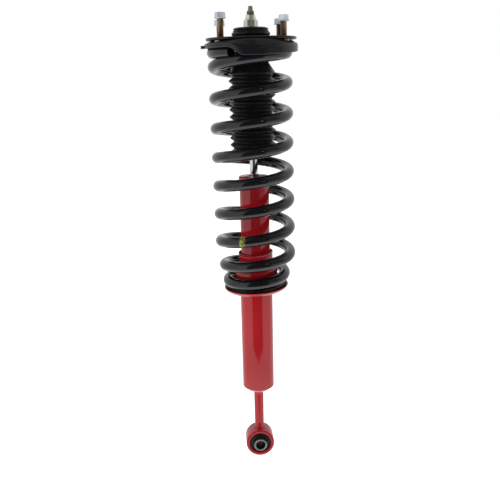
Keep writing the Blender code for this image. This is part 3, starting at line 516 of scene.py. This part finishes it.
# ---------------------------------------------------------------- pieces
def make_plate(materials):
    """Stamped plate: rolled edge, filleted boss and bore, in loops round the centre."""
    steps = 192
    rows = [("edge", 0.0016, -PLATE_THICKNESS), ("edge", 0.0005, -PLATE_THICKNESS + 0.0004),
            ("edge", 0.0, -PLATE_THICKNESS + 0.0014), ("edge", 0.0, -0.0014), ("edge", 0.0005, -0.0004),
            ("edge", 0.0016, 0.0), ("round", BOSS_RADIUS + 0.0022, 0.0),
            ("round", BOSS_RADIUS + 0.0007, 0.0003), ("round", BOSS_RADIUS - 0.0004, BOSS_HEIGHT - 0.0004),
            ("round", BOSS_RADIUS - 0.0016, BOSS_HEIGHT), ("round", PLATE_BORE + 0.0006, BOSS_HEIGHT),
            ("round", PLATE_BORE, BOSS_HEIGHT - 0.0006), ("round", PLATE_BORE, -PLATE_THICKNESS)]
    verts = []
    for kind, value, z in rows:
        for step in range(steps):
            angle = math.tau * step / steps
            radius = rounded_plate_radius(angle) - value if kind == "edge" else value
            verts.append((radius * math.cos(angle), radius * math.sin(angle), z))
    faces = []
    for row in range(len(rows)):
        below = (row + 1) % len(rows)
        for step in range(steps):
            after = (step + 1) % steps
            faces.append((row * steps + step, row * steps + after,
                          below * steps + after, below * steps + step))
    plate = new_piece("mount_plate", verts, faces, materials["black_paint"], MOUNT, 50.0)
    merge(plate)
    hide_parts("top_mount_plate")


def make_studs(materials):
    for index, (x, y) in enumerate(STUDS, start=1):
        shank_bottom = -PLATE_THICKNESS - GAP
        stud = threaded(f"stud_thread_{index}", STUD_RADIUS, 0.00125, STUD_TOP, shank_bottom,
                        materials["yellow_zinc"], MOUNT, (x, y), depth=0.0005)
        head_low = shank_bottom - STUD_HEAD_HEIGHT
        head = turned(f"stud_head_{index}",
                      eased([(0.0, shank_bottom), (STUD_HEAD_RADIUS, shank_bottom),
                             (STUD_HEAD_RADIUS, head_low), (0.0, head_low)], 0.0005, closed=False),
                      materials["yellow_zinc"], None, 48)
        head.location = (x, y, 0.0)
        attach(head, MOUNT)
        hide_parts(f"mount_stud_{index}")
        top = STUD_NUT_TOPS[index - 1]
        foot = top - STUD_NUT_HEIGHT
        rows = [(top, 0.00655, False), (top - 0.0001, 0.0067, True), (top - 0.0005, 0.0075, True),
                (top - 0.0011, 0.00815, True), (foot + 0.0022, 0.00815, True), (foot + 0.0016, 0.0080, True),
                (foot + 0.0013, 0.0085, False), (foot + 0.0010, 0.0088, False),
                (foot + 0.0003, 0.0088, False), (foot, 0.0086, False)]
        nut = hex_piece(f"flange_nut_{index}", 0.0140, rows, 0.0044, materials["zinc"], MOUNT, (x, y),
                        STUD_NUT_TURNS[index - 1])
        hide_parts(f"stud_nut_{index}")


def make_rod_end(materials):
    """Lock nut, domed washer, cushions, and the rod's threaded end."""
    rows = [(0.0330, 0.0070, False), (0.0329, 0.0073, False), (0.0278, 0.0084, False),
            (0.0264, 0.0089, False), (0.0262, 0.0092, True), (0.0256, 0.0101, True),
            (0.0246, 0.01105, True), (0.0180, 0.01105, True), (0.0172, 0.0108, True),
            (0.0169, 0.0112, False), (0.0160, 0.0114, False), (0.0157, 0.0112, False)]
    nut = hex_piece("lock_nut", 0.0190, rows, 0.0052, materials["nut_zinc"], MOUNT, steps=120)
    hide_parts("rod_lock_nut")

    washer_top = 0.0154
    washer = turned("domed_washer",
                    eased([(0.0062, washer_top), (0.0150, washer_top), (0.0235, washer_top - 0.0004),
                           (0.0272, washer_top - 0.0020), (0.0272, washer_top - 0.0040),
                           (0.0062, washer_top - 0.0040)], 0.0014),
                    materials["black_paint"], MOUNT, 128)
    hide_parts("upper_washer")

    top = 0.0111
    foot = BOSS_HEIGHT + GAP
    cushion = turned("mount_cushion",
                     eased([(0.0091, top), (0.0258, top), (0.0272, top - 0.0010), (0.0282, top - 0.0022),
                            (0.0272, top - 0.0030), (0.0296, top - 0.0040), (0.0300, top - 0.0058),
                            (0.0296, top - 0.0074), (0.0282, foot), (0.0137, foot), (0.0137, -0.0010),
                            (0.0091, -0.0010)], 0.0009),
                     materials["rubber"], MOUNT, 128, sharp_angle=60.0)
    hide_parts("upper_cushion")

    threaded("rod_end_thread", 0.0060, 0.00125, 0.0387, 0.0080, materials["phosphate"], MOUNT,
             depth=0.0007, chamfer=0.0012, steps=40)
    turned("rod_end_tip",
           eased([(0.0, 0.0462), (0.0027, 0.0462), (0.0035, 0.0448), (0.0036, 0.0408), (0.0048, 0.0386),
                  (0.0048, 0.0370), (0.0, 0.0370)], 0.0006, closed=False),
           materials["phosphate"], MOUNT, 40)
    shaft = turned("rod_shaft",
                   eased([(0.0, 0.0090), (0.0058, 0.0090), (0.0058, -0.0251), (0.0065, -0.0256),
                          (0.0065, -0.2990), (0.0048, -0.2990), (0.0048, -0.3255), (0.0, -0.3255)],
                         0.0003, closed=False),
                   materials["chrome"], MOUNT, 64)
    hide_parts("piston_rod")


def make_upper_seat(materials):
    """Pressed seat: crown with stud pockets, shoulder, and a web and rim that step down round the coil."""
    crown_top = -PLATE_THICKNESS - GAP
    crown_low = crown_top - SEAT_WEB
    web_low = SEAT_TOP - SEAT_WEB
    rim_bore = SEAT_RADIUS - SEAT_WALL

    def share(z, high, low):
        return min(max((high - z) / (high - low), 0.0), 1.0)

    def height(x, y, radius, z):
        turn = turn_at(x, y)
        back_up = 1.0 - smooth_step(turn, SEAT_STEP)
        slope = smooth_step(turn, WEB_SLOPE)
        coil = SPRING_PITCH * coil_travel(turn)
        web = min(coil, WEB_DROP * slope) * back_up
        edge = min(coil, EDGE_DROP * slope) * back_up
        rim = RIM_DROP * smooth_step(turn, RIM_SLOPE) * back_up
        if radius > rim_bore + SEAT_WALL / 2.0:
            rim_drop = (rim - edge) * share(z, SEAT_TOP, SEAT_RIM_BOTTOM)
            return z - edge * share(z, crown_top, SEAT_TOP) - rim_drop
        underneath = z < SEAT_TOP - GAP or (radius < PAD_BORE + GAP and z < crown_top - SEAT_WEB / 2.0)
        if underneath:
            return z - web * share(z, crown_low, web_low) - (rim - web) * share(z, web_low, SEAT_RIM_BOTTOM)
        z -= edge * share(z, crown_top, SEAT_TOP)
        from_stud = min(math.hypot(x - stud_x, y - stud_y) for stud_x, stud_y in STUDS)
        return z + (min(z, POCKET_FLOOR) - z) * (1.0 - smooth_step(from_stud, POCKET_EDGE))

    outline = eased([(SEAT_BORE, crown_top), (SEAT_CROWN_RADIUS, crown_top), (SEAT_SHOULDER_RADIUS, SEAT_TOP),
                     (SEAT_RADIUS, SEAT_TOP - 0.0012), (SEAT_RADIUS, SEAT_RIM_BOTTOM),
                     (rim_bore, SEAT_RIM_BOTTOM), (rim_bore, web_low), (PAD_BORE, web_low),
                     (PAD_BORE - 0.0012, crown_low), (SEAT_BORE, crown_low)], 0.0014, 4)
    seat = turned("spring_seat_upper", finer(outline, 0.0008), materials["black_paint"], MOUNT,
                  320, height, 60.0)
    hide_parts("upper_spring_seat")

    tab = turned("seat_tab", eased([(0.0, 0.0), (0.0024, 0.0), (0.0024, -0.0060), (0.0, -0.0060)], 0.0005,
                                   closed=False), materials["black_paint"], None, 32)
    tab.rotation_euler = (0.0, math.radians(90.0), 0.0)
    tab.location = (-SEAT_RADIUS + 0.0006, 0.0, -0.0130)
    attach(tab, MOUNT)


def make_spring(materials):
    """The coil's centre line, swept with a round wire; each point knows its turn for the paint mark."""
    per_turn = 64
    count = int(SPRING_TURNS * per_turn)
    turns = [SPRING_TURNS * index / count for index in range(count + 1)]
    mesh = bpy.data.meshes.new("spring_wire")
    mesh.from_pydata([coil_point(turn) for turn in turns], [(i, i + 1) for i in range(count)], [])
    attribute = mesh.attributes.new("turn", "FLOAT", "POINT")
    attribute.data.foreach_set("value", turns)
    mesh.materials.append(materials["spring_paint"])
    spring = bpy.data.objects.new("spring_wire", mesh)
    bpy.context.scene.collection.objects.link(spring)

    sweep = bpy.data.node_groups.new("wire_sweep", "GeometryNodeTree")
    sweep.interface.new_socket("Geometry", in_out="INPUT", socket_type="NodeSocketGeometry")
    sweep.interface.new_socket("Geometry", in_out="OUTPUT", socket_type="NodeSocketGeometry")
    add = sweep.nodes.new
    source, target = add("NodeGroupInput"), add("NodeGroupOutput")
    to_curve, circle, to_mesh = add("GeometryNodeMeshToCurve"), add("GeometryNodeCurvePrimitiveCircle"), \
        add("GeometryNodeCurveToMesh")
    circle.inputs["Resolution"].default_value = 28
    circle.inputs["Radius"].default_value = WIRE_RADIUS
    to_mesh.inputs["Fill Caps"].default_value = True
    smooth, paint = add("GeometryNodeSetShadeSmooth"), add("GeometryNodeSetMaterial")
    sharp = add("GeometryNodeSetShadeSmooth")
    paint.inputs["Material"].default_value = materials["spring_paint"]
    join = sweep.links.new
    join(source.outputs[0], to_curve.inputs[0])
    join(to_curve.outputs[0], to_mesh.inputs["Curve"])
    join(circle.outputs["Curve"], to_mesh.inputs["Profile Curve"])
    join(to_mesh.outputs[0], smooth.inputs["Geometry"])
    edge_angle, is_wide = add("GeometryNodeInputMeshEdgeAngle"), add("FunctionNodeCompare")
    is_wide.operation = "GREATER_THAN"
    is_wide.inputs[1].default_value = math.radians(50.0)
    sharp.domain = "EDGE"
    sharp.inputs["Shade Smooth"].default_value = False
    join(edge_angle.outputs["Unsigned Angle"], is_wide.inputs[0])
    join(is_wide.outputs["Result"], sharp.inputs["Selection"])
    join(smooth.outputs[0], sharp.inputs["Geometry"])
    join(sharp.outputs[0], paint.inputs["Geometry"])
    join(paint.outputs[0], target.inputs[0])
    modifier = spring.modifiers.new("wire_sweep", "NODES")
    modifier.node_group = sweep
    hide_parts("coil_spring")
    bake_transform(spring)


def make_boot(materials):
    """Bellows: rounded folds on a neck, open at the lower end."""
    peak, valley, pitch, first, folds, wall = 0.0376, 0.0302, 0.0110, -0.0535, 12, 0.0014
    outer = [(0.0257, -0.0254), (0.0257, -0.0340), (0.0268, -0.0375)]
    for fold in range(folds):
        z = first - fold * pitch
        outer.append((peak, z))
        outer.append((valley, z - pitch / 2.0))
    hem = outer[-1][1] - wall
    outer.append((valley + wall, hem))
    inner = [(max(radius - wall, 0.0243), z) for radius, z in reversed(outer)]
    boot = turned("bellows_boot", eased(outer + inner, 0.0022, 5), materials["rubber"], MOUNT, 112,
                  sharp_angle=75.0)
    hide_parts("dust_boot")


def make_damper(materials):
    red = materials["red_paint"]
    tube = turned("tube_outer",
                  eased([(0.0220, TUBE_TOP), (UPPER_TUBE, TUBE_TOP), (UPPER_TUBE, -0.3438),
                         (LOWER_TUBE, -0.3478), (LOWER_TUBE, TUBE_BOTTOM), (0.0251, TUBE_BOTTOM),
                         (0.0251, -0.3478), (0.0220, -0.3438)], 0.0010),
                  red, DAMPER, 144, sharp_angle=50.0)
    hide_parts("damper_tube")
    cap = turned("tube_cap",
                 eased([(0.0083, -0.2140), (0.0105, -0.2140), (0.0110, -0.2136), (0.0232, -0.2141),
                        (0.0251, -0.2152), (0.0251, -0.2244), (0.0243, -0.2244), (0.0243, -0.2161),
                        (0.0083, -0.2161)], 0.0006),
                 red, DAMPER, 128, sharp_angle=50.0)
    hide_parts("tube_end_cap")
    # The base plug wears a lighter, paler red than the tube: painted reflection of the bright floor below.
    base = turned("base_plug",
                  eased([(0.0, -0.5720), (0.0248, -0.5720), (0.0248, TUBE_BOTTOM), (0.0236, -0.5856),
                         (0.0214, -0.5892), (0.0176, -0.5917), (0.0, -0.5917)], 0.0014, closed=False),
                  materials["red_base_painted_reflection"], DAMPER, 128, sharp_angle=50.0)
    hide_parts("base_cap")


def make_lower_seat(materials):
    """Collar with a lip and groove, flare and dish, leaning like the frame's own seat."""
    def height(x, y, radius, z):
        return z + SEAT_TILT * x if radius > LOWER_TUBE + GAP + GAP or z > -0.3438 else z

    top = -0.3412
    outline = [(0.0258, top - 0.0005), (0.0266, top + 0.0001), (0.0285, top + 0.0001), (0.0288, top - 0.0008),
               (0.0284, top - 0.0034), (0.0279, top - 0.0042), (0.0283, top - 0.0050),
               (0.0284, top - 0.0120), (0.0299, -0.3591), (0.0326, -0.3652), (0.0353, -0.3707),
               (0.0366, -0.3880), (0.0370, -0.3990), (0.0385, -0.4020), (0.0493, -0.4020), (0.0522, -0.3990),
               (0.0534, -0.3986), (0.0538, -0.3994), (0.0533, -0.4010), (0.0493, -0.4050), (0.0370, -0.4050),
               (0.0306, -0.4092), (0.0294, -0.4100), (0.0274, -0.4100), (0.0274, -0.3478), (0.0243, -0.3438),
               (0.0243, top - 0.0042)]
    seat = turned("spring_seat_lower", eased(outline, 0.0010, 4), materials["red_paint"], DAMPER,
                  192, height, 40.0)
    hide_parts("lower_spring_seat")


def make_stem_and_eye(materials):
    red = materials["red_paint"]
    stem = turned("stem_bar",
                  eased([(0.0, -0.5905), (0.0103, -0.5917), (0.0087, -0.5950), (0.0083, -0.6000),
                         (0.0080, -0.6560), (0.0081, -0.6610), (0.0088, -0.6660), (0.0094, -0.6700),
                         (0.0, -0.6700)], 0.0016, closed=False),
                  red, DAMPER, 64, sharp_angle=60.0)
    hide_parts("lower_stem")

    around, across = 72, 12
    verts = []
    for step in range(around):
        angle = math.tau * step / around
        out = (math.cos(angle), math.sin(angle))
        for turn in range(across):
            lift = math.tau * turn / across
            reach = WELD_RADIUS + WELD_BEAD * math.cos(lift) * (1.0 + 0.12 * math.sin(9.0 * angle))
            x = reach * out[0]
            z = EYE_CENTRE + math.sqrt(EYE_RADIUS ** 2 - x ** 2) + WELD_BEAD * math.sin(lift)
            verts.append((x, reach * out[1], z))
    faces = [(one * across + turn, one * across + (turn + 1) % across,
              (one + 1) % around * across + (turn + 1) % across, (one + 1) % around * across + turn)
             for one in range(around) for turn in range(across)]
    weld = new_piece("stem_weld", verts, faces, red, DAMPER, 80.0)
    merge(weld)

    def on_eye(name, outline, material, body, steps):
        piece = turned(name, outline, material, None, steps, sharp_angle=45.0)
        piece.rotation_euler = (math.radians(90.0), 0.0, 0.0)
        piece.location = (0.0, 0.0, EYE_CENTRE)
        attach(piece, body)
        return piece

    barrel = on_eye("eye_barrel", eased(ring(0.0187, 0.0247, 0.0160, -0.0160), 0.0010), red, DAMPER,
                    128)
    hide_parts("eye_ring")
    bush = on_eye("eye_bush",
                  eased([(0.0117, 0.0166), (0.0136, 0.0166), (0.0148, 0.0150), (0.0168, 0.0138),
                         (0.0184, 0.0140), (0.0184, -0.0140), (0.0168, -0.0138), (0.0148, -0.0150),
                         (0.0136, -0.0166), (0.0117, -0.0166)], 0.0010),
                  materials["rubber"], DAMPER, 96)
    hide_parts("eye_rubber_bush")
    sleeve = on_eye("eye_tube", eased(ring(0.0082, 0.0114, 0.0232, -0.0232), 0.0007),
                    materials["sleeve_steel"], SLEEVE, 96)
    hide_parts("eye_sleeve")


def keep_frame_nodes(materials):
    """Every frame node that still shows gets its material, by the record's slot."""
    slots = {row["node"]: row["material_slot"] for row in frame["record"]["subparts"]}
    for name, node in frame["nodes"].items():
        if node.hide_render:
            continue
        node.data.materials.clear()
        node.data.materials.append(materials[slots[name]])


# ---------------------------------------------------------------- studio
def make_floor():
    mesh = bpy.data.meshes.new("studio_floor")
    reach = 9.0
    corners = [(-reach, -reach, 0.0), (reach, -reach, 0.0), (reach, reach, 0.0), (-reach, reach, 0.0)]
    mesh.from_pydata(corners, [], [(0, 1, 2, 3)])
    nodes = Nodes("floor_paper")
    nodes.colour(nodes.ramp(nodes.noise(2.0), ((0.3, (0.90, 0.90, 0.90)), (0.7, (0.93, 0.93, 0.93)))))
    nodes.roughness(0.9)
    nodes.shader.inputs["Specular IOR Level"].default_value = 0.1
    nodes.shader.inputs["Emission Color"].default_value = (1.0, 1.0, 1.0, 1.0)
    nodes.shader.inputs["Emission Strength"].default_value = FLOOR_GLOW
    mesh.materials.append(nodes.material)
    floor = bpy.data.objects.new("studio_floor", mesh)
    bpy.context.scene.collection.objects.link(floor)
    floor.location.z = FLOOR_Z
    floor.visible_glossy = False


def make_light(name, place, aim, power, size, colour=(1.0, 1.0, 1.0), glossy=True):
    light = bpy.data.lights.new(name, "AREA")
    light.energy = power
    light.color = colour
    light.shape = "RECTANGLE"
    light.size, light.size_y = size
    lamp = bpy.data.objects.new(name, light)
    bpy.context.scene.collection.objects.link(lamp)
    lamp.location = place
    lamp.rotation_euler = (Vector(aim) - Vector(place)).to_track_quat("-Z", "Y").to_euler()
    lamp.visible_glossy = glossy


def make_world():
    """White all round; the side that faces the camera is a dim room between two bright screens."""
    world = bpy.data.worlds.new("studio")
    world.use_nodes = True
    bpy.context.scene.world = world
    tree = world.node_tree
    add, join = tree.nodes.new, tree.links.new
    background = tree.nodes["Background"]

    def maths(operation, first, second=None, clamp=False):
        node = add("ShaderNodeMath")
        node.operation = operation
        node.use_clamp = clamp
        for socket, value in zip(node.inputs, (first, second)):
            if value is None:
                continue
            if isinstance(value, float):
                socket.default_value = value
            else:
                join(value, socket)
        return node.outputs[0]

    split = add("ShaderNodeSeparateXYZ")
    join(add("ShaderNodeTexCoord").outputs["Generated"], split.inputs[0])
    x, y, z = split.outputs
    forward = maths("MAXIMUM", maths("MULTIPLY", y, -1.0), 0.001)
    aside = maths("DIVIDE", maths("ABSOLUTE", x), forward)
    opening = maths("MULTIPLY", maths("DIVIDE", maths("ADD", z, DIM_FOOT), DIM_TAPER, clamp=True), DIM_WIDTH)
    inside = maths("DIVIDE", maths("SUBTRACT", opening, aside), DIM_EDGE, clamp=True)
    facing = maths("GREATER_THAN", forward, 0.002)
    dim = maths("MULTIPLY", inside, facing)
    front = maths("DIVIDE", forward, FRONT_FADE, clamp=True)
    upper = maths("DIVIDE", maths("ADD", z, UPPER_START), UPPER_FADE, clamp=True)
    right = maths("DIVIDE", maths("ADD", x, RIGHT_START), RIGHT_FADE, clamp=True)
    high_screen = maths("ADD", maths("MULTIPLY", right, HIGH_RIGHT - HIGH_LEFT), HIGH_LEFT)
    added = maths("MULTIPLY", upper, maths("SUBTRACT", high_screen, SCREEN_LEVEL))
    screen = maths("ADD", added, SCREEN_LEVEL)
    screens = maths("ADD", maths("MULTIPLY", front, maths("SUBTRACT", screen, WALL_LEVEL)), WALL_LEVEL)
    overhead = maths("DIVIDE", maths("SUBTRACT", z, OVERHEAD_START), OVERHEAD_FADE, clamp=True)
    under = maths("DIVIDE", maths("SUBTRACT", UNDER_START, z), UNDER_FADE, clamp=True)
    screens = maths("ADD", maths("MULTIPLY", overhead, maths("SUBTRACT", OVERHEAD_LEVEL, screens)), screens)
    screens = maths("ADD", maths("MULTIPLY", under, maths("SUBTRACT", UNDER_LEVEL, screens)), screens)
    level = maths("ADD", maths("MULTIPLY", dim, maths("SUBTRACT", DIM_LEVEL, screens)), screens)
    seen = add("ShaderNodeLightPath").outputs["Is Camera Ray"]
    shown = maths("ADD", maths("MULTIPLY", seen, maths("SUBTRACT", 1.0, level)), level)
    background.inputs["Color"].default_value = (1.0, 1.0, 1.0, 1.0)
    join(shown, background.inputs["Strength"])


def make_camera():
    data = bpy.data.cameras.new("camera")
    data.sensor_width = 36.0
    data.lens = 670.0 / 500.0 * 36.0
    data.clip_start = 0.01
    camera = bpy.data.objects.new("camera", data)
    bpy.context.scene.collection.objects.link(camera)
    camera.matrix_world = (Matrix.Rotation(math.radians(CAMERA_YAW), 4, "Z")
                           @ Matrix.Translation(CAMERA_PLACE)
                           @ Matrix.Rotation(math.radians(90.0 - CAMERA_PITCH), 4, "X")
                           @ Matrix.Rotation(math.radians(CAMERA_ROLL), 4, "Z"))
    bpy.context.scene.camera = camera


bpy.context.scene.view_settings.view_transform = "Standard"
materials = make_materials()
make_plate(materials)
make_studs(materials)
make_rod_end(materials)
make_upper_seat(materials)
make_spring(materials)
make_boot(materials)
make_damper(materials)
make_lower_seat(materials)
make_stem_and_eye(materials)
keep_frame_nodes(materials)
make_floor()
make_light("screen_left", (-1.3, -0.9, 0.1), (0.0, 0.0, -0.35), 14.0, (1.0, 1.4), glossy=False)
make_light("screen_right", (1.3, -0.7, 0.1), (0.0, 0.0, -0.35), 10.0, (1.0, 1.4), glossy=False)
make_light("screen_top", (0.0, -0.3, 1.5), (0.0, 0.0, -0.3), 12.0, (1.2, 1.2), glossy=False)
make_light("warm_lamp", (0.62, -1.5, 0.55), (0.0, 0.0, -0.3), 0.5, (0.12, 0.05), (1.0, 0.55, 0.25))
make_camera()
make_world()
